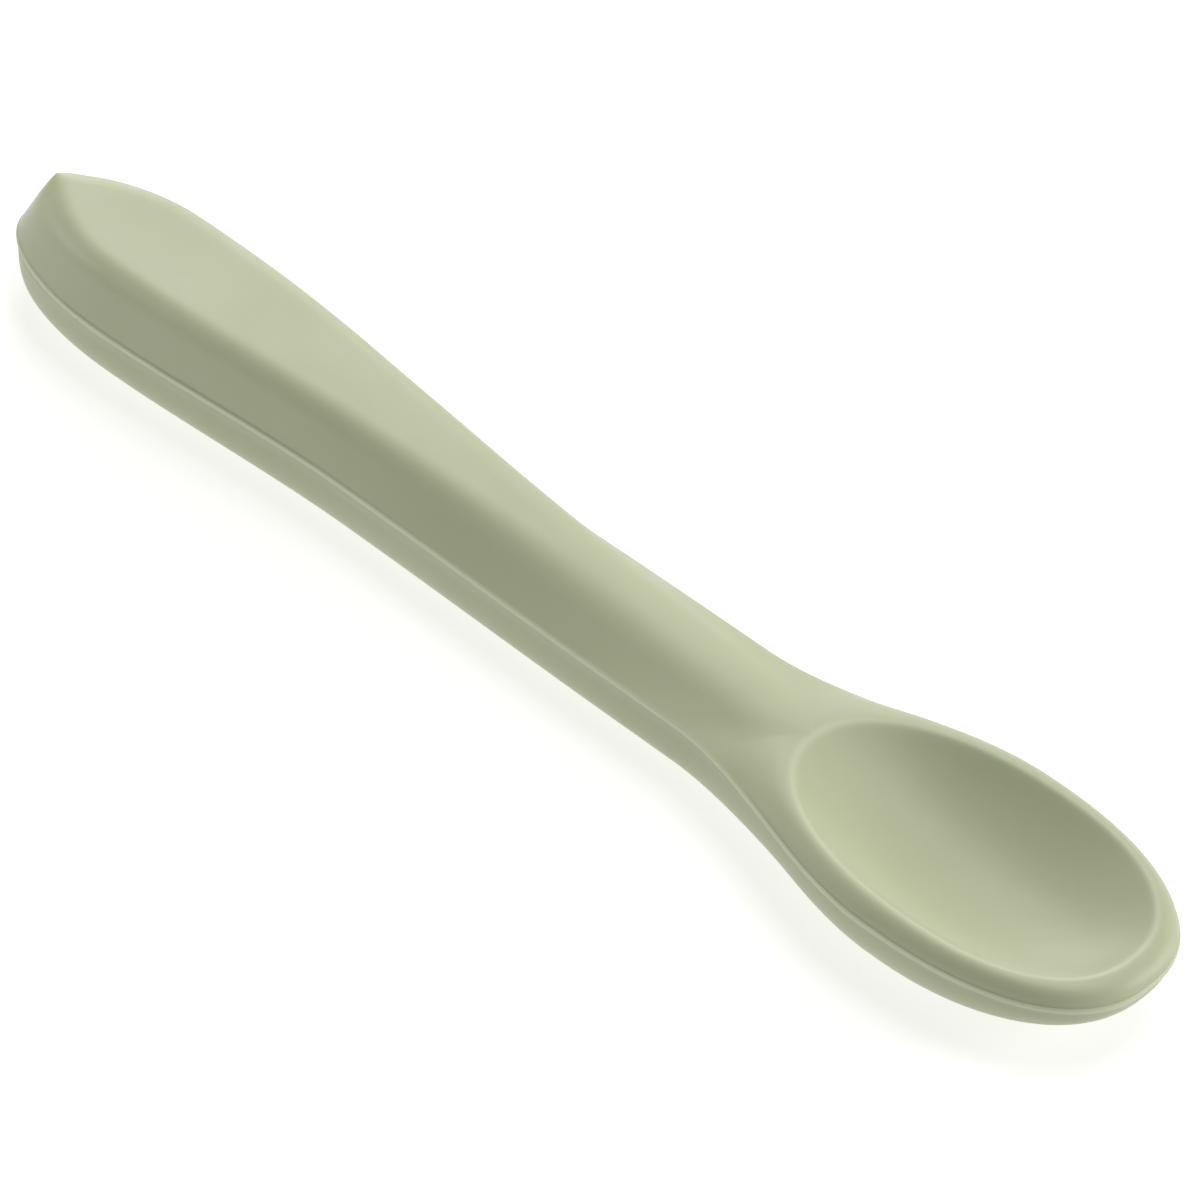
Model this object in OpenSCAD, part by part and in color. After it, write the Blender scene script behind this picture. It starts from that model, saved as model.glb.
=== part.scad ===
// Baby spoon: a soft silicone body moulded in one piece over a stiff core.
// It lies along X, handle end at -X and bowl at +X, and rests on z = 0.

/* [Plan outline, from the handle end to the bowl tip] */
// From the handle end to the widest place of the pad
pad_len = 18.4; // [12:0.2:24]
// From the widest place of the pad to the waist of the grip
grip_len = 32.6; // [25:0.2:42]
// From the waist of the grip to the neck
neck_len = 35.8; // [29:0.2:45]
// From the neck to the start of the flare
straight_len = 7.8; // [4.6:0.2:10]
// From the start of the flare to the widest place of the bowl
flare_len = 28.6; // [24:0.2:36]
// From the widest place of the bowl to its tip
tip_len = 21.8; // [17:0.2:27]
// Width of the pad
pad_w = 16; // [14:0.2:19]
// Width of the grip at its waist
grip_w = 12.6; // [11.4:0.2:16]
// Width of the neck
neck_w = 13.4; // [11.8:0.2:16]
// Width of the bowl
bowl_w = 25.8; // [21.8:0.2:31]

/* [Heights] */
// Height of the mould's parting line above the table
parting_h = 7.2; // [6.2:0.1:8.4]
// Height of the bowl's rim above the table
rim_h = 9.2; // [8.6:0.1:10.6]
// Height of the handle's flat top above the table
grip_h = 14.2; // [12.8:0.1:17.4]
// How far the top runs level from the handle end
level_len = 33.5; // [28:0.5:42]
// Length over which the top comes down to the rim
fall_len = 82; // [66:0.5:92]

/* [Flat top of the handle] */
// How far the flat top stands back from the handle end
facet_back = 3.8; // [3.2:0.2:4.8]
// Inset of the flat top's edge from the outline at the pad
pad_inset = 1.5; // [1.2:0.1:2.4]
// Inset of the flat top's edge from the outline at the waist of the grip
grip_inset = 1.8; // [1.2:0.1:2.4]
// Inset of the top's edge from the outline at the neck
neck_inset = 4.4; // [3.6:0.1:5]
// Length of the rounding at the top's edge along pad and grip
edge_soft = 1.5; // [1.2:0.1:2]
// Length of the rounding at the top's edge at the neck
neck_soft = 2.8; // [2.2:0.1:3.4]
// How far the sloping sides bulge
side_bulge = 0.25; // [0.1:0.05:0.5]

/* [Underside] */
// Width of the flat strip under the handle
foot_w = 2; // [2:0.2:3.2]
// Width of the flat place under the bowl
bowl_foot_w = 12.8; // [9:0.2:13.8]
// How far the flat strip stands back from the handle end
foot_back = 2.4; // [2.2:0.2:4]
// How far the flat place stands back from the bowl's tip
bowl_foot_back = 18.4; // [15:0.2:19.6]
// From the start of the flare to where the underside starts to fill out
belly_start = 1; // [0.5:0.5:3]
// Length over which the underside fills out
belly_blend = 17; // [14:0.5:20]

/* [Parting line] */
// How far the fine bead of the parting line stands out
bead_out = 0.2; // [0.15:0.05:0.4]
// Height of the bead
bead_h = 0.7; // [0.5:0.1:1]

/* [Bowl] */
// Width of the rim along the bowl's sides
rim_w = 1.9; // [1.5:0.1:2.3]
// Width of the rim at the bowl's tip
rim_tip_w = 2.3; // [1.9:0.1:2.7]
// Width of the rounding at the rim's inner edge
lip_w = 0.4; // [0.2:0.05:0.6]
// Height of the rounding at the rim's inner edge
lip_h = 0.25; // [0.15:0.05:0.4]
// Depth of the bowl below the rim
bowl_depth = 5.3; // [4.7:0.1:6]
// From the start of the flare to where the rim starts to form
rim_start = 5; // [3:0.5:7]
// Length over which the rim forms
rim_blend = 15; // [12:0.5:18]
// From the start of the flare to the bowl's inner edge
mouth_back = 11.4; // [10:0.2:13.8]

/* [Stiff core] */
// Thickness of the core
core_t = 3.2; // [2.6:0.1:4]
// Silicone between the top of the core and the height of the rim
core_cover = 2.4; // [2:0.1:3]
// Width of the core along the grip and neck
core_w = 5.8; // [4.8:0.2:6.6]
// Width of the core's paddle in the pad
core_pad_w = 9; // [7.4:0.2:10.4]
// Length of the core's paddle
core_pad_len = 26; // [20:1:32]
// Silicone left between the core and the handle end
core_back = 9; // [7:0.5:11]
// Silicone left between the core and the bowl's inner edge
core_front = 5; // [4:0.2:7]
// Bore of the core's keying holes
key_bore = 3; // [2.4:0.1:3.4]
// Distance between keying holes
key_pitch = 14; // [12:0.5:17]
// Width of the shallow grooves between the holes
groove_w = 1.6; // [1.2:0.1:2]
// Depth of the grooves
groove_d = 0.5; // [0.3:0.1:0.7]

/* [Hidden] */

length = pad_len + grip_len + neck_len + straight_len + flare_len + tip_len;
pad_x = pad_len;
grip_x = pad_x + grip_len;
neck_x = grip_x + neck_len;
flare_x = neck_x + straight_len;
bowl_x = flare_x + flare_len;
mouth_x0 = flare_x + mouth_back;
mouth_x1 = length - rim_tip_w;
foot_x1 = length - bowl_foot_back;
core_x0 = core_back;
core_x1 = mouth_x0 - core_front;
core_h1 = rim_h - core_cover;
core_h0 = core_h1 - core_t;

// Shapes of the rounded outlines: 2 is an ellipse, more is fuller
tip_power = 2.35;
mouth_power = 2.2;
flank_power = 3.1;
bowl_flank_power = 2;
dish_power = 2.3;
rim_power = 1.9;
// Points of the rounding at the rim's inner edge, across and down
lip_shares = [[0, 1], [0.3, 0.35], [1, 0]];
// How far the mouth's deepest and widest place moves toward the tip, of half its length
egg_share = 0.07;

// Counts of the mesh
end_steps = 9;
body_steps = 40;
tip_steps = 11;
flank_steps = 7;
side_steps = 4;
edge_steps = 6;
mouth_steps = 52;
hollow_steps = 10;
// Most of a side's length that its rounding may take
max_soft_share = 0.6;
overrun = 1;

function clamp01(t) = min(1, max(0, t));
function ease(t) = clamp01(t) * clamp01(t) * (3 - 2 * clamp01(t));
function span(x, from, len) = ease((x - from) / len);
function mix(a, b, t) = a + (b - a) * t;
function power(v, p) = sign(v) * pow(abs(v), 2 / p);

// Half the width of the outline between the widest places of pad and bowl
function half_w(x) =
    x < grip_x ? mix(pad_w, grip_w, span(x, pad_x, grip_len)) / 2
    : x < neck_x ? mix(grip_w, neck_w, span(x, grip_x, neck_len)) / 2
    : mix(neck_w, bowl_w, span(x, flare_x, flare_len)) / 2;

// How far the flat top's edge lies inside the outline
function inset(x) =
    x < grip_x ? mix(pad_inset, grip_inset, span(x, pad_x, grip_len))
    : x < flare_x ? mix(grip_inset, neck_inset, pow(span(x, grip_x, flare_x - grip_x), 2))
    : neck_inset * half_w(x) / half_w(flare_x);
function soft_len(x) = mix(edge_soft, neck_soft, span(x, 0, flare_x));
function foot_half(x) = mix(foot_w, bowl_foot_w, span(x, flare_x, flare_len)) / 2;
function top_h(x) = mix(grip_h, rim_h, span(x, level_len, fall_len));
// 0 on the handle, 1 on the bowl
function belly(x) = span(x, flare_x + belly_start, belly_blend);
function rimness(x) = span(x, flare_x + rim_start, rim_blend);

// A station is the outline point, the flat top's edge point and the foot's edge point, in plan
function end_station(a) = [
    [pad_x - pad_x * cos(a), pad_w / 2 * sin(a)],
    [pad_x - (pad_x - facet_back) * cos(a), (pad_w / 2 - pad_inset) * sin(a)],
    [pad_x - (pad_x - foot_back) * cos(a), foot_w / 2 * sin(a)]
];
function body_station(x) = [
    [x, half_w(x)],
    [x, half_w(x) - inset(x)],
    [x, foot_half(x)]
];
function tip_station(a) = [
    [bowl_x + tip_len * power(cos(a), tip_power), bowl_w / 2 * power(sin(a), tip_power)],
    [bowl_x + (tip_len - rim_w) * cos(a), (bowl_w / 2 - rim_w) * sin(a)],
    [bowl_x + (foot_x1 - bowl_x) * cos(a), bowl_foot_w / 2 * sin(a)]
];
stations = concat(
    [for (i = [1 : end_steps]) end_station(90 * (i - 0.5) / end_steps)],
    [for (i = [0 : body_steps]) body_station(mix(pad_x, bowl_x, i / body_steps))],
    [for (i = [1 : tip_steps]) tip_station(90 * (1 - (i - 0.5) / tip_steps))]
);

function toward(a, b) = (b - a) / norm(b - a);
function lift(p, h) = [p[0], p[1], h];
function bezier(a, b, c, t) = a * (1 - t) * (1 - t) + b * 2 * t * (1 - t) + c * t * t;

// Flank under the parting line, from the foot's edge out and up
function flank(o, foot, h, p) = [
    for (i = [0 : flank_steps])
        let (a = 90 * i / flank_steps)
        lift(mix(foot, o, power(sin(a), p)), h * (1 - power(cos(a), p)))
];
// Sloping side, rounded edge and start of the top
function handle_side(o, edge, h0, h1) =
    let (a = lift(o, h0))
    let (k = lift(edge, h1))
    let (soft = soft_len(o[0]))
    let (b = mix(k, a, min(soft / norm(k - a), max_soft_share)))
    let (c = k + lift(toward(o, edge), 0) * min(soft, edge[1]))
    let (out = lift(toward(edge, o), 0))
    concat(
        [for (i = [0 : side_steps - 1])
            let (t = i / side_steps)
            mix(a, b, t) + out * side_bulge * 4 * t * (1 - t)],
        [for (i = [0 : edge_steps]) bezier(b, k, c, i / edge_steps)]
    );
// Rounded rim of the bowl, up to its crest
function rim_side(o, inward, h0, h1) = [
    for (i = [0 : side_steps + edge_steps])
        let (a = 90 * i / (side_steps + edge_steps))
        let (crest = inward * (rim_w - lip_w))
        lift(o + crest * (1 - power(cos(a), rim_power)), mix(h0, h1, power(sin(a), rim_power)))
];
// Half a section of the body, from the foot over the parting line to the top
function profile(s) =
    let (o = s[0])
    let (in_dir = toward(o, s[2]))
    let (g = rimness(o[0]))
    let (h0 = parting_h - bead_h / 2)
    let (h1 = parting_h + bead_h / 2)
    let (side = handle_side(o, s[1], h1, top_h(s[1][0])))
    let (rim = rim_side(o, in_dir, h1, top_h(o[0])))
    concat(
        flank(o, s[2], h0, mix(flank_power, bowl_flank_power, belly(o[0]))),
        [lift(o - in_dir * bead_out, parting_h)],
        [for (i = [0 : len(side) - 1]) mix(side[i], rim[i], g)]
    );

right = [for (s = stations) profile(s)];
function mirrored(p) = [p[0], -p[1], p[2]];

// Outer skin as rings that climb from the foot to the top
module outer_form() {
    n = len(right);
    levels = len(right[0]);
    around = 2 * n;
    points = [
        for (j = [0 : levels - 1])
            each concat(
                [for (i = [0 : n - 1]) right[i][j]],
                [for (i = [n - 1 : -1 : 0]) mirrored(right[i][j])])
    ];
    walls = [
        for (j = [0 : levels - 2])
            for (i = [0 : around - 1])
                let (k = (i + 1) % around)
                each [[j * around + i, (j + 1) * around + i, j * around + k],
                      [j * around + k, (j + 1) * around + i, (j + 1) * around + k]]
    ];
    top = (levels - 1) * around;
    caps = [
        for (i = [0 : n - 2])
            let (m = around - 1 - i)
            each [[i, i + 1, m], [i + 1, m - 1, m],
                  [top + i, top + m, top + i + 1], [top + i + 1, top + m, top + m - 1]]
    ];
    polyhedron(points = points, faces = concat(walls, caps), convexity = 6);
}

// Moves the middle of the range from -1 to 1 and keeps its ends
function egg(t) = t + egg_share * (1 - t * t);

// Dished hollow of the bowl, with its inner edge rounded
module hollow_form() {
    cx = (mouth_x0 + mouth_x1) / 2;
    half_l = (mouth_x1 - mouth_x0) / 2;
    half_b = bowl_w / 2 - rim_w;
    // Each ring has its share of the mouth's size, its reach past that, and its depth below the top
    dish_rings = [
        for (i = [1 : hollow_steps - 1])
            let (r = i / hollow_steps)
            [r, 0, mix(bowl_depth, lip_h, pow(r, dish_power))]
    ];
    lip_rings = [for (s = lip_shares) [1, lip_w * s[0], lip_h * s[1]]];
    rings = concat(dish_rings, lip_rings, [[1, lip_w, -overrun]]);
    points = concat(
        [[cx + half_l * egg(0), 0, top_h(cx) - bowl_depth]],
        [for (r = rings)
            for (i = [0 : mouth_steps - 1])
                let (a = 360 * i / mouth_steps)
                let (x = cx + (half_l + r[1]) * egg(r[0] * power(cos(a), mouth_power)))
                [x, (half_b * r[0] + r[1]) * power(sin(a), mouth_power), top_h(x) - r[2]]]
    );
    last = 1 + (len(rings) - 1) * mouth_steps;
    faces = concat(
        [for (i = [0 : mouth_steps - 1]) [0, 1 + i, 1 + (i + 1) % mouth_steps]],
        [for (j = [0 : len(rings) - 2])
            for (i = [0 : mouth_steps - 1])
                let (k = (i + 1) % mouth_steps)
                let (a = 1 + j * mouth_steps)
                let (b = a + mouth_steps)
                each [[a + i, b + i, a + k], [a + k, b + i, b + k]]],
        [[for (i = [mouth_steps - 1 : -1 : 0]) last + i]]
    );
    polyhedron(points = points, faces = faces, convexity = 4);
}

module core_outline() {
    translate([core_x0 + core_pad_w / 2, 0]) circle(d = core_pad_w, $fn = 48);
    translate([core_x0 + core_pad_w / 2, -core_pad_w / 2]) square([core_pad_len - core_pad_w, core_pad_w]);
    translate([core_x0 + core_pad_len - core_pad_w / 2, 0]) circle(d = core_pad_w, $fn = 48);
    translate([core_x0 + core_pad_w, -core_w / 2])
        square([core_x1 - core_x0 - core_pad_w - core_w / 2, core_w]);
    translate([core_x1 - core_w / 2, 0]) circle(d = core_w, $fn = 48);
}

// Core with through holes and grooves that the silicone grips
module core_form() {
    first = core_x0 + core_pad_w / 2;
    holes = floor((core_x1 - core_w - first) / key_pitch);
    difference() {
        translate([0, 0, core_h0]) linear_extrude(height = core_t) core_outline();
        for (i = [0 : holes])
            translate([first + i * key_pitch, 0, core_h0 - overrun])
                cylinder(d = key_bore, h = core_t + 2 * overrun, $fn = 32);
        for (i = [0 : holes - 1])
            for (h = [core_h0, core_h1])
                translate([first + (i + 0.5) * key_pitch, 0, h])
                    cube([groove_w, core_pad_w * 2, groove_d * 2], center = true);
    }
}

module silicone_body() {
    color([0.76, 0.78, 0.65])
        translate([-length / 2, 0, 0])
            difference() {
                outer_form();
                hollow_form();
                core_form();
            }
}

module stiff_core() {
    color([0.88, 0.87, 0.83])
        translate([-length / 2, 0, 0]) core_form();
}

silicone_body();
stiff_core();
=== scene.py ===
"""Baby spoon: a matte sage silicone skin moulded over a stiff core, on a pale studio floor.

Sizes in the dataclass fields are millimetres and degrees. Meshes, lamps and the camera are made in
metres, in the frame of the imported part: handle end at -X, bowl at +X, underside on z = 0.
"""

import logging

from dataclasses import dataclass, field
from enum import Enum

import bpy
import numpy as np
from mathutils import Matrix, Vector


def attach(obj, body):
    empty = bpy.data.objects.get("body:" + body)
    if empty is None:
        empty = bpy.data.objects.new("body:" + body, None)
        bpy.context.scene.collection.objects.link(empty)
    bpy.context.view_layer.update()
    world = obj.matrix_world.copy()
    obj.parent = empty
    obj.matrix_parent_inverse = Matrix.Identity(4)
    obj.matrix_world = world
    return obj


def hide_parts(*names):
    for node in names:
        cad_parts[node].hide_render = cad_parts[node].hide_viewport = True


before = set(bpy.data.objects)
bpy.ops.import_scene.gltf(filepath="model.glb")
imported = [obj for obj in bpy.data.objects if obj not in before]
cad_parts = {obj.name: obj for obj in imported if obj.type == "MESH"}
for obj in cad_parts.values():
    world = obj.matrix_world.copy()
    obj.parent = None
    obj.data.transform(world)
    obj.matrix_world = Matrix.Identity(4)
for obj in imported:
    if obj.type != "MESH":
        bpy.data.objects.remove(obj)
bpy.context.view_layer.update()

# A millimetre, in metres
MM = 0.001
# Side of the photograph in pixels, and width of the camera's sensor
IMAGE_SIDE = 1200
SENSOR = 36.0
WHITE = (1.0, 1.0, 1.0)
# The least length that is divided by
TINY = 1e-9
# Attributes of the skin that mark where its finish paints highlights: the parting line's bead and the bowl's
# lip
BEAD_HIGHLIGHT_SHARE = "bead_highlight_share"
LIP_HIGHLIGHT_SHARE = "lip_highlight_share"
LOG = logging.getLogger("baby_spoon")

Array = np.ndarray
Colour = tuple[float, float, float]
Socket = bpy.types.NodeSocket
Tree = bpy.types.ShaderNodeTree


# Curves


def ease(t: Array) -> Array:
    """Return a smooth step from 0 to 1, level at both ends."""
    t = np.clip(t, 0.0, 1.0)
    return t * t * (3 - 2 * t)


def mix(a: Array, b: Array, t: Array) -> Array:
    """Return a at t = 0 and b at t = 1, straight in between."""
    return a + (b - a) * t


def power(v: Array, p: float) -> Array:
    """Return a sine or cosine v bent so that p = 2 draws an ellipse and a larger p a fuller curve."""
    return np.sign(v) * np.abs(v) ** (2 / p)


def hump(t: Array) -> Array:
    """Return a hump from t = 0 to t = 1 that is 1 high at a third of the way."""
    return 27 / 4 * t * (1 - t) ** 2


def unit(v: Array) -> Array:
    """Return the vectors v at length 1, and a zero vector as it is."""
    return v / np.maximum(np.linalg.norm(v, axis=-1, keepdims=True), TINY)


def lift(points: Array, height: Array) -> Array:
    """Return plan points with a height each.

    Args:
        points: Plan points, x and y in the last axis.
        height: One height, or one for each point.

    Returns:
        The points with x, y and z in the last axis.
    """
    z = np.broadcast_to(np.asarray(height, float)[..., None], points.shape[:-1] + (1,))
    return np.concatenate([points, z], axis=-1)


# Meshes and objects


def deselect_all() -> None:
    """Leave nothing selected, since operators act on all that is."""
    bpy.ops.object.select_all(action="DESELECT")


def apply_modifiers(obj: bpy.types.Object) -> None:
    """Apply every modifier of an object, in order, and leave it alone selected and active.

    Args:
        obj: The object.
    """
    deselect_all()
    obj.select_set(True)
    bpy.context.view_layer.objects.active = obj
    for modifier in list(obj.modifiers):
        bpy.ops.object.modifier_apply(modifier=modifier.name)


def set_material(obj: bpy.types.Object, material: bpy.types.Material) -> None:
    """Give an object that one material in all its slots.

    Args:
        obj: A new piece, or a CAD node, whose slots are only assigned to.
        material: The finish.
    """
    if not obj.material_slots:
        obj.data.materials.append(material)
    for held in obj.material_slots:
        held.material = material


# Shader nodes


class Board:
    """A shader tree under work: a material's, a world's or a group's."""

    def __init__(self, tree: Tree) -> None:
        """Work on one tree."""
        self.tree = tree

    def join(self, source: Socket, target: Socket) -> None:
        """Link an output to an input."""
        self.tree.links.new(source, target)

    def add(self, kind: str, links: dict | None = None, **settings: object) -> bpy.types.Node:
        """Add one node.

        Args:
            kind: The node's type, without its ShaderNode prefix.
            links: What each input takes: a socket, or a plain value.
            settings: Values for the node's own properties.

        Returns:
            The new node.
        """
        node = self.tree.nodes.new("ShaderNode" + kind)
        for name, value in settings.items():
            setattr(node, name, value)
        for name, value in (links or {}).items():
            if isinstance(value, Socket):
                self.join(value, node.inputs[name])
            else:
                node.inputs[name].default_value = value
        return node

    def number(self, operation: str, a: object, b: object) -> Socket:
        """Return the result of a Math node on a and b."""
        return self.add("Math", {0: a, 1: b}, operation=operation).outputs[0]

    def blend(self, factor: object, a: object, b: object) -> Socket:
        """Return colour a turning to colour b with factor; 6 and 7 are a Mix node's colour inputs."""
        return self.add("Mix", {0: factor, 6: a, 7: b}, data_type="RGBA").outputs[2]

    def carry(self, value: Socket, low: float, high: float, start: float, end: float) -> Socket:
        """Return value carried smoothly from the range low to high to the range start to end."""
        links = {"Value": value, "From Min": low, "From Max": high, "To Min": start, "To Max": end}
        return self.add("MapRange", links, interpolation_type="SMOOTHSTEP").outputs["Result"]


def rgba(colour: Colour) -> tuple[float, float, float, float]:
    """Return a linear colour from one written as it looks on a screen."""
    linear = [c / 12.92 if c <= 0.04045 else ((c + 0.055) / 1.055) ** 2.4 for c in colour]
    return (*linear, 1.0)


def new_material(name: str) -> tuple[bpy.types.Material, Board, bpy.types.Node]:
    """Make a material with a Principled shader.

    Args:
        name: The finish's name.

    Returns:
        The material, its board and its Principled shader.
    """
    material = bpy.data.materials.new(name)
    material.use_nodes = True
    return material, Board(material.node_tree), material.node_tree.nodes["Principled BSDF"]


@dataclass(frozen=True)
class MouldedGrain:
    """The blasted grain and slow cloudiness of a moulded surface, as one group that finishes share.

    Attributes:
        name: The group's name.
        fine: Detail and roughness of the fine grain's noise.
        coarse: The same for the coarse grain.
        cloud: The same for the cloudiness.
        coarse_scale: Scale of the coarse grain, as a share of the fine grain's.
        fine_share: Share of the height that is fine grain, the rest being coarse.
        cloud_range: Noise values that give no mottle and full mottle.
    """

    name: str = "Moulded grain"
    fine: tuple[float, float] = (3.0, 0.6)
    coarse: tuple[float, float] = (1.0, 0.5)
    cloud: tuple[float, float] = (3.0, 0.55)
    coarse_scale: float = 0.22
    fine_share: float = 0.6
    cloud_range: tuple[float, float] = (0.3, 0.7)

    def group(self) -> Tree:
        """Build the group.

        Returns:
            A group with the inputs Vector, Grain and Cloud, and the outputs Height and Mottle.
        """
        tree = bpy.data.node_groups.new(self.name, "ShaderNodeTree")
        board = Board(tree)
        for label, kind in (("Vector", "Vector"), ("Grain", "Float"), ("Cloud", "Float")):
            tree.interface.new_socket(label, in_out="INPUT", socket_type="NodeSocket" + kind)
        for label in ("Height", "Mottle"):
            tree.interface.new_socket(label, in_out="OUTPUT", socket_type="NodeSocketFloat")
        given = tree.nodes.new("NodeGroupInput").outputs
        result = tree.nodes.new("NodeGroupOutput").inputs
        coarse_scale = board.number("MULTIPLY", given["Grain"], self.coarse_scale)
        fine = self.noise(board, given["Vector"], given["Grain"], self.fine)
        coarse = self.noise(board, given["Vector"], coarse_scale, self.coarse)
        cloud = self.noise(board, given["Vector"], given["Cloud"], self.cloud)
        fine_part = board.number("MULTIPLY", fine, self.fine_share)
        coarse_part = board.number("MULTIPLY", coarse, 1 - self.fine_share)
        board.join(board.number("ADD", fine_part, coarse_part), result["Height"])
        board.join(board.carry(cloud, *self.cloud_range, 0.0, 1.0), result["Mottle"])
        return tree

    def noise(self, board: Board, place: Socket, scale: Socket, kind: tuple[float, float]) -> Socket:
        """Return the value of a noise at a place, its kind being its detail and roughness."""
        links = {"Vector": place, "Scale": scale, "Detail": kind[0], "Roughness": kind[1]}
        return board.add("TexNoise", links).outputs["Fac"]


# Finishes


@dataclass(frozen=True)
class MouldedFinish:
    """A matte moulded surface: two near tones that cloud into each other, and a fine grain.

    Attributes:
        name: The finish's name.
        tone: One of the two tones, as it looks on a screen.
        cloud_tone: The other.
        roughness: Middle roughness.
        roughness_drift: How far the roughness drifts to either side with the cloudiness.
        specular: Strength of the surface's gloss.
        grain: Scale of the fine grain, in waves to the metre.
        cloud: Scale of the cloudiness, in waves to the metre.
        grain_depth: Height of the grain.
        sheen: Strength of the soft glow at grazing angles.
        sheen_roughness: How wide that glow spreads.
        depth_share: Share of the light that goes into the material.
        depth_reach: How far it goes in each colour, in depths.
        depth: How deep it goes.
    """

    name: str
    tone: Colour
    cloud_tone: Colour
    roughness: float
    roughness_drift: float
    specular: float
    grain: float
    cloud: float
    grain_depth: float
    sheen: float
    sheen_roughness: float
    depth_share: float
    depth_reach: Colour
    depth: float

    def material(self, grain_group: Tree) -> bpy.types.Material:
        """Build the material.

        Args:
            grain_group: The shared group from MouldedGrain.

        Returns:
            The finished material.
        """
        material, board, shader = new_material(self.name)
        place = board.add("TexCoord").outputs["Object"]
        links = {"Vector": place, "Grain": self.grain, "Cloud": self.cloud}
        surface = board.add("Group", links, node_tree=grain_group).outputs
        colour = board.blend(surface["Mottle"], rgba(self.tone), rgba(self.cloud_tone))
        board.join(self.paint_highlights(board, colour), shader.inputs["Base Color"])
        low, high = self.roughness - self.roughness_drift, self.roughness + self.roughness_drift
        board.join(board.carry(surface["Mottle"], 0.0, 1.0, low, high), shader.inputs["Roughness"])
        relief = {"Strength": 1.0, "Distance": self.grain_depth * MM, "Height": surface["Height"]}
        board.join(board.add("Bump", relief).outputs["Normal"], shader.inputs["Normal"])
        shader.inputs["Specular IOR Level"].default_value = self.specular
        shader.inputs["Sheen Weight"].default_value = self.sheen
        shader.inputs["Sheen Roughness"].default_value = self.sheen_roughness
        shader.inputs["Subsurface Weight"].default_value = self.depth_share
        shader.inputs["Subsurface Radius"].default_value = self.depth_reach
        shader.inputs["Subsurface Scale"].default_value = self.depth * MM
        return material

    def paint_highlights(self, board: Board, colour: Socket) -> Socket:
        """Return the base colour unchanged: a plain moulding gets no painted highlights."""
        return colour


@dataclass(frozen=True)
class SiliconeFinish(MouldedFinish):
    """Sage silicone, with painted highlights along the parting line's bead and the bowl's lip.

    Attributes:
        bead_highlight_tone: Painted highlight along the parting line's bead.
        lip_highlight_tone: Painted highlight along the bowl's lip.
    """

    name: str = "Sage silicone"
    tone: Colour = (0.765, 0.788, 0.655)
    cloud_tone: Colour = (0.758, 0.782, 0.647)
    roughness: float = 0.5
    roughness_drift: float = 0.04
    specular: float = 0.65
    grain: float = 5200.0
    cloud: float = 70.0
    grain_depth: float = 0.012
    sheen: float = 0.4
    sheen_roughness: float = 0.3
    depth_share: float = 0.6
    depth_reach: Colour = (0.95, 1.05, 0.85)
    depth: float = 1.2
    bead_highlight_tone: Colour = (0.845, 0.865, 0.745)
    lip_highlight_tone: Colour = (0.812, 0.832, 0.71)

    def paint_highlights(self, board: Board, colour: Socket) -> Socket:
        """Paint highlights into the base colour along the bead and the lip.

        Args:
            board: The material's board.
            colour: The base colour so far.

        Returns:
            The base colour.
        """
        # Painted highlights: the base colour turns lighter along the parting line's bead and the bowl's lip
        for attribute, tone in ((BEAD_HIGHLIGHT_SHARE, self.bead_highlight_tone), (LIP_HIGHLIGHT_SHARE, self.lip_highlight_tone)):
            share = board.add("Attribute", attribute_name=attribute).outputs["Fac"]
            colour = board.blend(share, colour, rgba(tone))
        return colour


@dataclass(frozen=True)
class CoreFinish(MouldedFinish):
    """Natural nylon of the stiff core."""

    name: str = "Core nylon"
    tone: Colour = (0.88, 0.87, 0.83)
    cloud_tone: Colour = (0.86, 0.845, 0.80)
    roughness: float = 0.48
    roughness_drift: float = 0.05
    specular: float = 0.45
    grain: float = 3600.0
    cloud: float = 120.0
    grain_depth: float = 0.02
    sheen: float = 0.0
    sheen_roughness: float = 0.5
    depth_share: float = 0.0
    depth_reach: Colour = (1.0, 1.0, 1.0)
    depth: float = 0.5


# The spoon


class Stretch(Enum):
    """The stretches of the half outline, in order from the handle's end."""

    END = "round end of the pad"
    BODY = "pad, grip, neck and flare"
    TIP = "round tip of the bowl"


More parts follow.
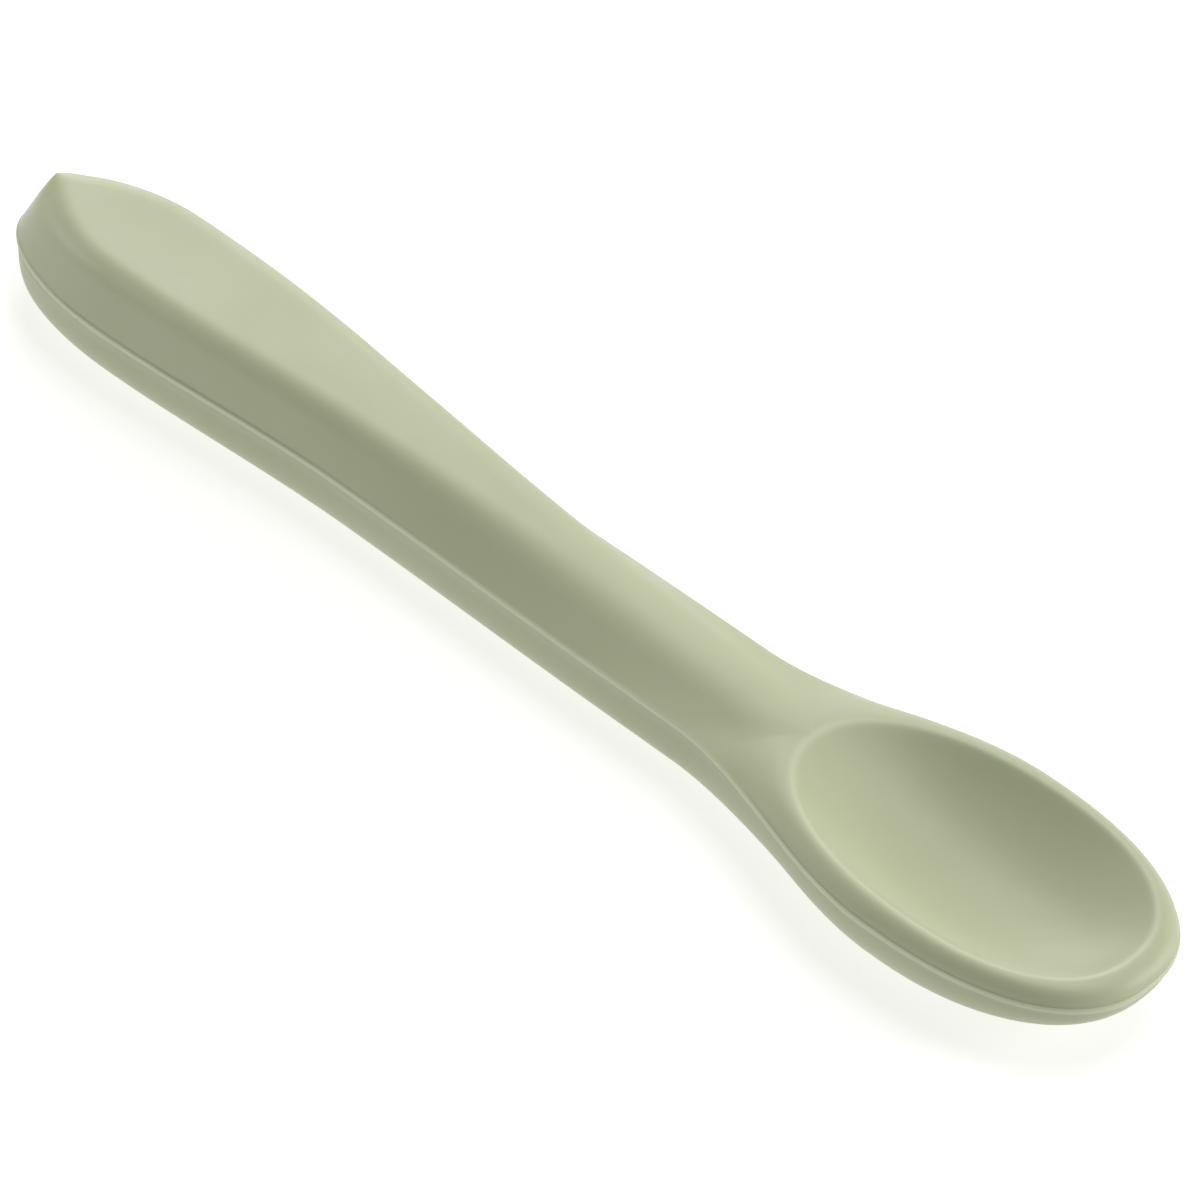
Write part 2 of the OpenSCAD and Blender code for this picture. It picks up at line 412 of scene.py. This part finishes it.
@dataclass
class Plan:
    """Outline, flat top and foot as seen from above, with x counted from the handle's end.

    Attributes:
        pad_len: From the handle's end to the pad's widest place.
        grip_len: From there to the grip's waist.
        neck_len: From there to the neck.
        straight_len: Length of the neck that keeps one width.
        flare_len: From there to the bowl's widest place.
        tip_len: From there to the bowl's tip.
        pad_w: Width of the pad.
        grip_w: Width of the grip's waist.
        neck_w: Width of the neck.
        bowl_w: Width of the bowl.
        tip_power: Fullness of the bowl's tip, 2 being an ellipse.
        facet_back: How far the top stays back from the handle's end.
        pad_inset: How far the top's edge lies inside the outline at the pad.
        grip_inset: The same at the grip.
        neck_inset: The same at the neck.
        pad_blend: Length over which pad_inset turns to grip_inset.
        inset_from: Where the inset starts to turn to neck_inset.
        inset_len: Length over which it turns.
        foot_w: Width of the flat foot under the handle.
        bowl_foot_w: Width of the flat foot under the bowl.
        foot_back: How far the foot stays back from the handle's end.
        bowl_foot_back: How far the foot stays back from the bowl's tip.
        rim_w: Width of the bowl's rim at its sides.
        rim_tip_w: Width of the bowl's rim at its tip.
    """

    pad_len: float = 18.4
    grip_len: float = 32.6
    neck_len: float = 35.8
    straight_len: float = 7.8
    flare_len: float = 28.6
    tip_len: float = 21.8
    pad_w: float = 16.0
    grip_w: float = 12.6
    neck_w: float = 13.4
    bowl_w: float = 25.8
    tip_power: float = 2.35
    facet_back: float = 3.8
    pad_inset: float = 1.1
    grip_inset: float = 0.75
    neck_inset: float = 4.85
    pad_blend: float = 16.0
    inset_from: float = 38.0
    inset_len: float = 55.0
    foot_w: float = 2.0
    bowl_foot_w: float = 12.8
    foot_back: float = 2.4
    bowl_foot_back: float = 18.4
    rim_w: float = 1.9
    rim_tip_w: float = 2.3

    @property
    def length(self) -> float:
        """Overall length of the outline."""
        return self.bowl_x + self.tip_len

    @property
    def grip_x(self) -> float:
        """Place of the grip's waist."""
        return self.pad_len + self.grip_len

    @property
    def neck_x(self) -> float:
        """Place of the neck."""
        return self.grip_x + self.neck_len

    @property
    def flare_x(self) -> float:
        """Start of the flare."""
        return self.neck_x + self.straight_len

    @property
    def bowl_x(self) -> float:
        """Widest place of the bowl."""
        return self.flare_x + self.flare_len

    def half_width(self, x: Array) -> Array:
        """Work out half the outline's width.

        Args:
            x: Places between the pad's and the bowl's widest.

        Returns:
            Half the width at each.
        """
        pad = mix(self.pad_w, self.grip_w, ease((x - self.pad_len) / self.grip_len))
        neck = mix(self.grip_w, self.neck_w, ease((x - self.grip_x) / self.neck_len))
        bowl = mix(self.neck_w, self.bowl_w, ease((x - self.flare_x) / self.flare_len))
        return np.where(x < self.grip_x, pad, np.where(x < self.neck_x, neck, bowl)) / 2

    def inset(self, x: Array) -> Array:
        """Return how far the top's edge lies inside the outline at x."""
        pad = mix(self.pad_inset, self.grip_inset, ease((x - self.pad_len) / self.pad_blend))
        return mix(pad, self.neck_inset, ease((x - self.inset_from) / self.inset_len))

    def stretch(self, part: Stretch, t: Array) -> tuple[Array, Array, Array]:
        """Lay out the stations of one stretch.

        Args:
            part: Which stretch.
            t: Places along it, from 0 at its start to 1 at its end.

        Returns:
            The outline's, the flat top's edge and the foot's edge points, in plan.
        """
        if part is Stretch.BODY:
            x = mix(self.pad_len, self.bowl_x, t)
            half = self.half_width(x)
            foot = mix(self.foot_w, self.bowl_foot_w, ease((x - self.flare_x) / self.flare_len)) / 2
            return tuple(np.stack([x, out], -1) for out in (half, half - self.inset(x), foot))
        if part is Stretch.END:
            along, out = -np.cos(t * np.pi / 2), np.sin(t * np.pi / 2)
            shapes = [(along, out)] * 3
            middle = self.pad_len
            reach = (self.pad_len, self.pad_len - self.facet_back, self.pad_len - self.foot_back)
            wide = (self.pad_w / 2, self.pad_w / 2 - self.pad_inset, self.foot_w / 2)
        else:
            along, out = np.sin(t * np.pi / 2), np.cos(t * np.pi / 2)
            shapes = [(power(along, self.tip_power), power(out, self.tip_power)), (along, out), (along, out)]
            middle = self.bowl_x
            reach = (self.tip_len, self.tip_len - self.rim_w, self.tip_len - self.bowl_foot_back)
            wide = (self.bowl_w / 2, self.bowl_w / 2 - self.rim_w, self.bowl_foot_w / 2)
        return tuple(np.stack([middle + r * a, w * o], -1) for r, w, (a, o) in zip(reach, wide, shapes))


@dataclass
class Section:
    """Heights and section of the body, from the foot over the parting line to the top's middle.

    Attributes:
        parting_h: Height of the parting line.
        rim_h: Height of the bowl's rim.
        grip_h: Height of the handle's top.
        level_len: Length over which the top is level.
        fall_len: Length over which it then falls to the rim.
        flank_power: Fullness of the handle's rounded underside, 2 being an ellipse.
        bowl_flank_power: The same for the bowl.
        bead_out: How far the parting line's bead stands out.
        bead_h: Height of the bead.
        end_soft: Reach of the rounding from side to top at the handle's end.
        end_len: Length over which end_soft turns to edge_soft.
        edge_soft: Reach of that rounding along the handle.
        neck_soft: Reach of that rounding at the neck.
        soft_from: Where edge_soft starts to turn to neck_soft.
        soft_len: Length over which it turns.
        soft_limit: Largest share of the side that the rounding takes.
        side_bulge: How far the sloping side bulges.
        side_share: Share of the upper rows that lie on the side.
        edge_share: Share of them that lie on the rounding, the rest being on the top.
        rim_power: Fullness of the bowl's rim, 2 being an ellipse.
        foot_steps: Rows on the foot.
        flank_steps: Rows on the rounded underside.
        bead_steps: Rows on the bead.
        upper_steps: Rows above the bead.
    """

    parting_h: float = 7.2
    rim_h: float = 9.2
    grip_h: float = 14.2
    level_len: float = 33.5
    fall_len: float = 82.0
    flank_power: float = 3.1
    bowl_flank_power: float = 2.0
    bead_out: float = 0.2
    bead_h: float = 0.7
    end_soft: float = 3.6
    end_len: float = 16.0
    edge_soft: float = 2.4
    neck_soft: float = 2.9
    soft_from: float = 80.0
    soft_len: float = 18.0
    soft_limit: float = 0.6
    side_bulge: float = 0.03
    side_share: float = 0.3
    edge_share: float = 0.4
    rim_power: float = 1.9
    foot_steps: int = 3
    flank_steps: int = 22
    bead_steps: int = 8
    upper_steps: int = 48

    def top_height(self, x: Array) -> Array:
        """Return the height of the body's top at x."""
        return mix(self.grip_h, self.rim_h, ease((x - self.level_len) / self.fall_len))

    def softness(self, x: Array) -> Array:
        """Return the reach of the rounding from side to top at x."""
        soft = mix(self.end_soft, self.edge_soft, ease(x / self.end_len))
        return mix(soft, self.neck_soft, ease((x - self.soft_from) / self.soft_len))

    def lower(self, outline: Array, foot: Array, bowlness: Array) -> Array:
        """Draw half sections from the middle of the foot up over the bead of the parting line.

        Args:
            outline: Outline points, in plan.
            foot: Edge points of the foot, in plan.
            bowlness: 0 where a section is the handle's, 1 where it is the bowl's.

        Returns:
            Points by station and row.
        """
        t = np.arange(self.foot_steps)[None, :, None] / self.foot_steps
        flat = lift(mix((foot * (1, 0))[:, None], foot[:, None], t), 0.0)
        a = np.linspace(0, np.pi / 2, self.flank_steps, endpoint=False)[None]
        p = mix(self.flank_power, self.bowl_flank_power, bowlness)[:, None]
        low = self.parting_h - self.bead_h / 2
        out = power(np.sin(a), p)[..., None]
        flank = lift(mix(foot[:, None], outline[:, None], out), low * (1 - power(np.cos(a), p)))
        turn = np.linspace(0, np.pi, self.bead_steps, endpoint=False)[None]
        outward = unit(outline - foot)[:, None]
        plan = outline[:, None] + outward * (self.bead_out * np.sin(turn))[..., None]
        bead = lift(plan, self.parting_h - np.cos(turn) * self.bead_h / 2)
        return np.concatenate([flat, flank, bead], axis=1)

    def facetted(self, outline: Array, edge: Array, inner: Array) -> Array:
        """Draw the sloping side, the rounding into the top, and the top as far as its inner end.

        Args:
            outline: Outline points, in plan.
            edge: Where side and top would meet if they met sharply, in plan.
            inner: Inner ends of the top, in plan.

        Returns:
            Points by station and row.
        """
        low = lift(outline, self.parting_h + self.bead_h / 2)
        corner = lift(edge, self.top_height(edge[:, 0]))
        end = lift(inner, self.top_height(inner[:, 0]))
        side, top = (np.linalg.norm(v, axis=-1, keepdims=True) for v in (corner - low, end - corner))
        soft = self.softness(outline[:, :1])
        start = mix(corner, low, np.minimum(soft / side, self.soft_limit))
        finish = mix(corner, end, np.minimum(soft / np.maximum(top, TINY), 1.0))
        outward = lift(unit(outline - edge), 0.0)
        low, corner, end, start, finish, outward = (
            v[:, None] for v in (low, corner, end, start, finish, outward)
        )
        u = np.linspace(0, 1, self.upper_steps + 1)[None, :, None]
        turned = self.side_share + self.edge_share
        up = np.clip(u / self.side_share, 0, 1)
        over = np.clip((u - self.side_share) / self.edge_share, 0, 1)
        on = np.clip((u - turned) / (1 - turned), 0, 1)
        rising = mix(low, start, up) + outward * self.side_bulge * hump(up)
        turning = start * (1 - over) ** 2 + corner * 2 * over * (1 - over) + finish * over**2
        return np.where(on > 0, mix(finish, end, on), np.where(over > 0, turning, rising))

    def arched(self, outline: Array, inner: Array) -> Array:
        """Draw the rim of the bowl, from the parting line to its crest.

        Args:
            outline: Outline points, in plan.
            inner: Crest points, in plan.

        Returns:
            Points by station and row.
        """
        a = (np.linspace(0, 1, self.upper_steps + 1) * np.pi / 2)[None, :]
        across = (1 - power(np.cos(a), self.rim_power))[..., None]
        low = self.parting_h + self.bead_h / 2
        z = mix(low, self.top_height(inner[:, 0])[:, None], power(np.sin(a), self.rim_power))
        return lift(mix(outline[:, None], inner[:, None], across), z)


@dataclass
class Mouth:
    """The bowl's dished hollow, its soft inner edge and how the neck opens into it.

    Attributes:
        back: From the start of the flare to the mouth's rear end.
        belly_start: From the start of the flare to where the underside starts to turn to the bowl's.
        belly_blend: Length over which it turns.
        rim_start: From the start of the flare to where the top starts to turn to the bowl's rim.
        rim_blend: Length over which it turns.
        egg: How far the mouth's widest place lies towards the tip, as a share of half its length.
        depth: Depth of the hollow.
        dish_power: Fullness of the hollow's section, 2 being a parabola.
        lip_soft: Rounding of the hollow's edge, as a height.
        lip_highlight_reach: How far to either side of that edge the lip's painted highlight fades.
        mouth_power: Fullness of the mouth's outline, 2 being an ellipse.
        spine: Length of the line that the hollow's rows run in to, as a share of the mouth's.
        fan_from: Where the handle's cross lines start to lean towards the mouth.
        fan_to: Where they reach its rear end.
        fan_start: How slowly they start to turn round it, 1 being evenly.
        widest_turn: Angle round the mouth, from its rear end, that faces the bowl's widest place.
        hollow_steps: Rows in the hollow.
        crowding: How closely those rows crowd at the edge, 1 being evenly.
    """

    back: float = 11.4
    belly_start: float = 1.0
    belly_blend: float = 17.0
    rim_start: float = 1.0
    rim_blend: float = 17.0
    egg: float = 0.07
    depth: float = 5.3
    dish_power: float = 2.3
    lip_soft: float = 0.42
    lip_highlight_reach: float = 0.22
    mouth_power: float = 2.2
    spine: float = 0.5
    fan_from: float = 78.0
    fan_to: float = 99.0
    fan_start: float = 1.25
    widest_turn: float = 87.0
    hollow_steps: int = 40
    crowding: float = 1.8

    def dish(self, ratio: Array) -> Array:
        """Return how far the hollow lies below the top, ratio being 0 at its middle and 1 at its edge."""
        deep = self.depth * (1 - ratio**self.dish_power)
        return (deep + np.sqrt(deep**2 + self.lip_soft**2)) / 2


@dataclass
class SiliconeSkin:
    """The spoon's outer skin: one closed piece, lofted on a sheet as long as half the outline.

    Attributes:
        plan: Its shape from above.
        section: Its shape across.
        mouth: The bowl's hollow.
        finish: The silicone.
        name: The piece's name.
        end_steps: Stations round the handle's end.
        body_steps: Stations along the body.
        tip_steps: Stations round the bowl's tip.
        mirror_reach: Largest gap that the mirror closes along the middle.
        merge_reach: Largest gap between points that become one.
    """

    plan: Plan = field(default_factory=Plan)
    section: Section = field(default_factory=Section)
    mouth: Mouth = field(default_factory=Mouth)
    finish: SiliconeFinish = field(default_factory=SiliconeFinish)
    name: str = "silicone_skin"
    end_steps: int = 44
    body_steps: int = 220
    tip_steps: int = 56
    mirror_reach: float = 0.001
    merge_reach: float = 0.0006

    def stations(self) -> tuple[Array, Array, Array]:
        """Lay out the stations from the handle's end to the tip.

        Returns:
            The outline's, the flat top's edge and the foot's edge points, in plan.
        """
        parts = [
            self.plan.stretch(Stretch.END, np.linspace(0, 1, self.end_steps, endpoint=False)),
            self.plan.stretch(Stretch.BODY, np.linspace(0, 1, self.body_steps, endpoint=False)),
            self.plan.stretch(Stretch.TIP, np.linspace(0, 1, self.tip_steps + 1)),
        ]
        return tuple(np.concatenate(rows) for rows in zip(*parts))

    @property
    def mouth_box(self) -> tuple[Array, Array]:
        """Middle and half sizes of the mouth, in plan."""
        start = self.plan.flare_x + self.mouth.back
        end = self.plan.length - self.plan.rim_tip_w
        half_wide = self.plan.bowl_w / 2 - self.plan.rim_w
        return np.array([(start + end) / 2, 0.0]), np.array([(end - start) / 2, half_wide])

    def mouth_ring(self, turn: Array) -> Array:
        """Find points on the mouth's edge.

        Args:
            turn: Angles round the mouth, 0 at the tip and pi at the back.

        Returns:
            Plan points.
        """
        middle, half = self.mouth_box
        p = self.mouth.mouth_power
        along = power(np.cos(turn), p)
        shape = np.stack([along + self.mouth.egg * (1 - along**2), power(np.sin(turn), p)], -1)
        return middle + shape * half

    def ratio(self, points: Array) -> Array:
        """Measure how far points lie from the mouth's middle.

        Args:
            points: Plan points.

        Returns:
            0 at the middle, 1 on the mouth's edge, and more outside it.
        """
        middle, half = self.mouth_box
        p, egg = self.mouth.mouth_power, self.mouth.egg
        place = (points - middle) / half
        along = (1 - np.sqrt(np.maximum(1 - 4 * egg * (place[..., 0] - egg), 0))) / (2 * egg)
        return (np.abs(along) ** p + np.abs(place[..., 1]) ** p) ** (1 / p)

    def turns(self, x: Array) -> tuple[Array, int]:
        """Share the mouth's edge among the stations beside it.

        Args:
            x: Where the stations' outline points are.

        Returns:
            Angle round the mouth by station, pi on the handle, and the first station on the mouth.
        """
        first = int(np.argmax(x >= self.mouth.fan_to))
        widest = self.end_steps + self.body_steps
        share = np.clip((np.arange(len(x)) - first) / (widest - first), 0, 1)
        turn = np.pi - np.radians(self.mouth.widest_turn) * share**self.mouth.fan_start
        turn[widest:] = turn[widest] * (1 - np.linspace(0, 1, self.tip_steps + 1))
        return turn, first

    def top_ends(self, x: Array, edge: Array, ring: Array, first: int) -> Array:
        """Find the inner ends of the top.

        They lie on the middle line, lean forward near the mouth, and then lie on its edge.

        Args:
            x: Where the stations' outline points are.
            edge: Edge points of the flat top, in plan.
            ring: Points on the mouth's edge by station, in plan.
            first: The first station on the mouth.

        Returns:
            Plan points by station.
        """
        start = self.mouth.fan_from
        fan = np.clip((x - start) / (x[first] - start), 0, 1)
        ahead = mix(start, ring[first, 0], ease(fan)) + (x[first] - start) * fan * (1 - fan) ** 2
        lead = np.where(x > start, ahead - x, 0.0)[:, None]
        on_mouth = (np.arange(len(x)) >= first)[:, None]
        return np.where(on_mouth, ring, edge * (1, 0) + lead * (1, 0))

    def hollow(self, ring: Array) -> Array:
        """Draw the hollow from the mouth's edge in to a line along its bottom.

        Args:
            ring: Points on the mouth's edge by station, in plan.

        Returns:
            Points by station and row.
        """
        mouth = self.mouth
        middle, half = self.mouth_box
        t = np.linspace(0, 1, mouth.hollow_steps + 1)[1:] ** mouth.crowding
        spine_x = mix(middle[0] + mouth.egg * half[0], ring[:, 0], mouth.spine)
        spine = np.stack([spine_x, np.zeros_like(spine_x)], -1)
        points = mix(ring[:, None], spine[:, None], t[None, :, None])
        return lift(points, self.section.top_height(points[..., 0]) - mouth.dish(self.ratio(points)))

    def half_skin(self) -> tuple[Array, int, int]:
        """Work out the whole half skin.

        Returns:
            Points by station and row, the first station on the mouth, and the row that ends the top.
        """
        mouth, section, plan = self.mouth, self.section, self.plan
        outline, edge, foot = self.stations()
        x = outline[:, 0]
        turn, first = self.turns(x)
        ring = self.mouth_ring(turn)
        inner = self.top_ends(x, edge, ring, first)
        share = plan.inset(x) / plan.half_width(np.minimum(x, plan.flare_x))
        edge = np.where((x > plan.pad_len)[:, None], mix(outline, inner, share[:, None]), edge)
        belly = ease((x - plan.flare_x - mouth.belly_start) / mouth.belly_blend)
        rimness = ease((x - plan.flare_x - mouth.rim_start) / mouth.rim_blend)[:, None, None]
        lower = section.lower(outline, foot, belly)
        upper = mix(section.facetted(outline, edge, inner), section.arched(outline, inner), rimness)
        upper[..., 2] -= mouth.dish(self.ratio(upper[..., :2]))
        whole = np.concatenate([lower, upper, self.hollow(ring)], axis=1)
        whole[..., 0] -= plan.length / 2
        return whole, first, lower.shape[1] + upper.shape[1] - 1

    def bead_highlight_share(self, row: Array) -> Array:
        """Return how far each row lies on the parting line's bead, from 0 to 1, where the finish paints a
        highlight.
        """
        start = self.section.foot_steps + self.section.flank_steps
        return np.sin(np.clip((row - start) / self.section.bead_steps, 0, 1) * np.pi)

    def lip_highlight_share(self, points: Array) -> Array:
        """Work out how far points lie on the bowl's lip, where the finish paints a highlight.

        Args:
            points: Points of the skin.

        Returns:
            1 on the lip's crest, falling to 0 on both sides.
        """
        x = points[..., 0] + self.plan.length / 2
        out = (self.ratio(np.stack([x, points[..., 1]], -1)) - 1) * self.mouth_box[1][1]
        near = np.exp(-((out / self.mouth.lip_highlight_reach) ** 2))
        return np.where(points[..., 2] > self.section.parting_h + self.section.bead_h, near, 0.0)

    def sheet(self, columns: int, rows: int) -> tuple[bpy.types.Object, Array, Array]:
        """Add the flat sheet that the half skin is drawn on.

        Args:
            columns: Its number of stations.
            rows: Its number of rows.

        Returns:
            The sheet, and the station and the row of each of its points.
        """
        deselect_all()
        bpy.ops.mesh.primitive_grid_add(x_subdivisions=columns - 1, y_subdivisions=rows - 1, size=1.0)
        sheet = bpy.context.active_object
        sheet.name = sheet.data.name = self.name
        flat = np.empty(len(sheet.data.vertices) * 3)
        sheet.data.vertices.foreach_get("co", flat)
        place = flat.reshape(-1, 3) + 0.5
        column = np.rint(place[:, 0] * (columns - 1)).astype(int)
        row = np.rint(place[:, 1] * (rows - 1)).astype(int)
        return sheet, column, row

    def close(self, skin: bpy.types.Object, spare: Array) -> None:
        """Cut the spare corner off the half skin, mirror the rest and merge the seam.

        Args:
            skin: The half skin.
            spare: Whether each of its points is cut off.
        """
        mesh = skin.data
        mesh.vertices.foreach_set("select", spare)
        mesh.edges.foreach_set("select", np.zeros(len(mesh.edges), bool))
        mesh.polygons.foreach_set("select", np.zeros(len(mesh.polygons), bool))
        bpy.ops.object.mode_set(mode="EDIT")
        bpy.ops.mesh.select_mode(type="VERT")
        bpy.ops.mesh.delete(type="VERT")
        bpy.ops.object.mode_set(mode="OBJECT")
        mirror = skin.modifiers.new("Other half", "MIRROR")
        mirror.use_axis = (False, True, False)
        mirror.merge_threshold = self.mirror_reach * MM
        apply_modifiers(skin)
        bpy.ops.object.mode_set(mode="EDIT")
        bpy.ops.mesh.select_all(action="SELECT")
        bpy.ops.mesh.remove_doubles(threshold=self.merge_reach * MM)
        bpy.ops.mesh.normals_make_consistent(inside=False)
        bpy.ops.object.mode_set(mode="OBJECT")
        bpy.ops.object.shade_smooth()

    def build(self) -> bpy.types.Object:
        """Model the skin: a sheet, drawn into half the body, then cut, mirrored and closed.

        Returns:
            The closed skin, at the origin.
        """
        points, first, last_row = self.half_skin()
        skin, column, row = self.sheet(*points.shape[:2])
        # How far each point lies on the bead and the lip, where the finish paints highlights
        shares = {BEAD_HIGHLIGHT_SHARE: self.bead_highlight_share(row), LIP_HIGHLIGHT_SHARE: self.lip_highlight_share(points)[column, row]}
        for name, share in shares.items():
            skin.data.attributes.new(name, "FLOAT", "POINT").data.foreach_set("value", share)
        # What lies on the middle line is put exactly there, so that the mirror closes it
        points[[0, -1], :, 1] = 0.0
        points[:, 0, 1] = 0.0
        points[first:, -1, 1] = 0.0
        points[:first, last_row, 1] = 0.0
        skin.data.vertices.foreach_set("co", (points[column, row] * MM).ravel())
        self.close(skin, (column < first) & (row > last_row))
        return skin

    def dress(self, skin: bpy.types.Object, grain_group: Tree) -> None:
        """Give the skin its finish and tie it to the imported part.

        Args:
            skin: The closed skin.
            grain_group: The shared group from MouldedGrain.
        """
        set_material(skin, self.finish.material(grain_group))
        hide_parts("silicone_body")
        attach(skin, "root")


@dataclass
class StiffCore:
    """The core inside the skin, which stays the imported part's own.

    Attributes:
        node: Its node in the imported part.
        finish: The nylon.
    """

    node: str = "stiff_core"
    finish: CoreFinish = field(default_factory=CoreFinish)

    def dress(self, grain_group: Tree) -> bpy.types.Object:
        """Give the core its finish.

        Args:
            grain_group: The shared group from MouldedGrain.

        Returns:
            The core's object.
        """
        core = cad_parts[self.node]
        set_material(core, self.finish.material(grain_group))
        return core


# The studio


@dataclass(frozen=True)
class Softbox:
    """A square soft white lamp that faces the spoon.

    Attributes:
        name: The lamp's name.
        bearing: Its direction from the spoon, counted from +X towards +Y.
        elevation: Its angle above the floor.
        side: Length of its sides.
        power: Its power, in watts.
        distance: Its distance from the spoon.
    """

    name: str
    bearing: float
    elevation: float
    side: float
    power: float
    distance: float = 700.0

    def light(self) -> bpy.types.Object:
        """Hang the lamp.

        Returns:
            The lamp, in the scene.
        """
        data = bpy.data.lights.new(self.name, "AREA")
        data.shape = "SQUARE"
        data.size = self.side * MM
        data.energy = self.power
        lamp = bpy.data.objects.new(self.name, data)
        bpy.context.scene.collection.objects.link(lamp)
        a, e = np.radians([self.bearing, self.elevation])
        place = Vector((np.cos(a) * np.cos(e), np.sin(a) * np.cos(e), np.sin(e))) * self.distance * MM
        lamp.location = place
        lamp.rotation_euler = (-place).to_track_quat("-Z", "Y").to_euler()
        return lamp


@dataclass
class Studio:
    """Camera, lamps, world and floor.

    Attributes:
        azimuth: The camera's way round the spoon, 0 looking along +Y.
        elevation: Its angle above the floor.
        roll: Its turn about its own line of sight.
        distance: Its distance from the target.
        target: The point that it looks at.
        pixels_per_mm: Pixels of the photograph to a millimetre at the target.
        clip_start: The nearest that the camera sees.
        world_strength: Light of the surroundings on the spoon.
        floor_shade: Grey of the floor as the spoon sees it.
        floor_glow: Glow of the floor as the spoon sees it.
        floor_seen_shade: Grey of the floor as the camera sees it.
        floor_seen_glow: Glow of the floor as the camera sees it.
        floor_tint: Colour of the glow.
        floor_roughness: Roughness of the floor.
        floor_side: Length of the floor's sides.
        lamps: The soft lamps.
    """

    azimuth: float = 39.33
    elevation: float = 42.06
    roll: float = 5.92
    distance: float = 409.5
    target: tuple[float, float, float] = (7.73, -0.85, 8.7)
    pixels_per_mm: float = 10.779
    clip_start: float = 10.0
    world_strength: float = 0.18
    floor_shade: float = 0.42
    floor_glow: float = 0.72
    floor_seen_shade: float = 0.7
    floor_seen_glow: float = 0.74
    floor_tint: Colour = (1.0, 1.0, 0.97)
    floor_roughness: float = 0.9
    floor_side: float = 3000.0
    lamps: tuple[Softbox, ...] = (
        Softbox("top_lamp", 60.0, 78.0, 300.0, 1.58),
        Softbox("back_lamp", 135.0, 50.0, 300.0, 0.83),
        Softbox("far_lamp", 135.0, 20.0, 300.0, 1.04),
        Softbox("tip_lamp", 40.0, 20.0, 300.0, 2.1),
        Softbox("end_lamp", 208.0, 20.0, 300.0, 0.75),
    )

    def set_camera(self) -> bpy.types.Object:
        """Stand the camera where the photograph was taken.

        Returns:
            The camera, already the scene's.
        """
        a, e, r = np.radians([self.azimuth, self.elevation, self.roll])
        back = Vector((np.sin(a) * np.cos(e), -np.cos(a) * np.cos(e), np.sin(e)))
        level = Vector((np.cos(a), np.sin(a), 0.0))
        over = back.cross(level)
        right = level * np.cos(r) + over * np.sin(r)
        up = over * np.cos(r) - level * np.sin(r)
        data = bpy.data.cameras.new("camera")
        data.sensor_width = SENSOR
        data.lens = self.pixels_per_mm * self.distance * SENSOR / IMAGE_SIDE
        data.clip_start = self.clip_start * MM
        camera = bpy.data.objects.new("camera", data)
        bpy.context.scene.collection.objects.link(camera)
        turn = Matrix((right, up, back)).transposed().to_4x4()
        camera.matrix_world = Matrix.Translation((Vector(self.target) + back * self.distance) * MM) @ turn
        bpy.context.scene.camera = camera
        return camera

    def set_world(self) -> None:
        """Surround the spoon with soft light that the camera sees as white."""
        world = bpy.data.worlds.new("studio_world")
        world.use_nodes = True
        bpy.context.scene.world = world
        board = Board(world.node_tree)
        background = world.node_tree.nodes["Background"]
        background.inputs["Color"].default_value = (*WHITE, 1.0)
        seen = board.add("LightPath").outputs["Is Camera Ray"]
        strength = board.add("Mix", {0: seen, 2: self.world_strength, 3: 1.0}, data_type="FLOAT")
        board.join(strength.outputs[0], background.inputs["Strength"])

    def set_floor(self) -> bpy.types.Object:
        """Lay a white floor that keeps the spoon's shadow.

        Returns:
            The floor.
        """
        deselect_all()
        bpy.ops.mesh.primitive_plane_add(size=self.floor_side * MM)
        floor = bpy.context.active_object
        floor.name = "floor"
        material, board, shader = new_material("White floor")
        shader.inputs["Roughness"].default_value = self.floor_roughness
        shader.inputs["Specular IOR Level"].default_value = 0.0
        shader.inputs["Emission Color"].default_value = (*self.floor_tint, 1.0)
        seen = board.add("LightPath").outputs["Is Camera Ray"]
        shade = board.blend(seen, rgba((self.floor_shade,) * 3), rgba((self.floor_seen_shade,) * 3))
        board.join(shade, shader.inputs["Base Color"])
        glow = board.carry(seen, 0.0, 1.0, self.floor_glow, self.floor_seen_glow)
        board.join(glow, shader.inputs["Emission Strength"])
        set_material(floor, material)
        return floor

    def build(self) -> None:
        """Set up camera, world, floor and lamps."""
        self.set_camera()
        self.set_world()
        self.set_floor()
        for lamp in self.lamps:
            lamp.light()
        bpy.context.scene.view_settings.view_transform = "Standard"


def main() -> None:
    """Build the studio and the spoon, and report each piece."""
    logging.basicConfig(level=logging.INFO, format="%(name)s: %(message)s")
    Studio().build()
    grain_group = MouldedGrain().group()
    skin_maker = SiliconeSkin()
    skin = skin_maker.build()
    skin_maker.dress(skin, grain_group)
    core = StiffCore().dress(grain_group)
    for piece in (skin, core):
        LOG.info("%s: %d faces", piece.name, len(piece.data.polygons))


if __name__ == "__main__":
    main()
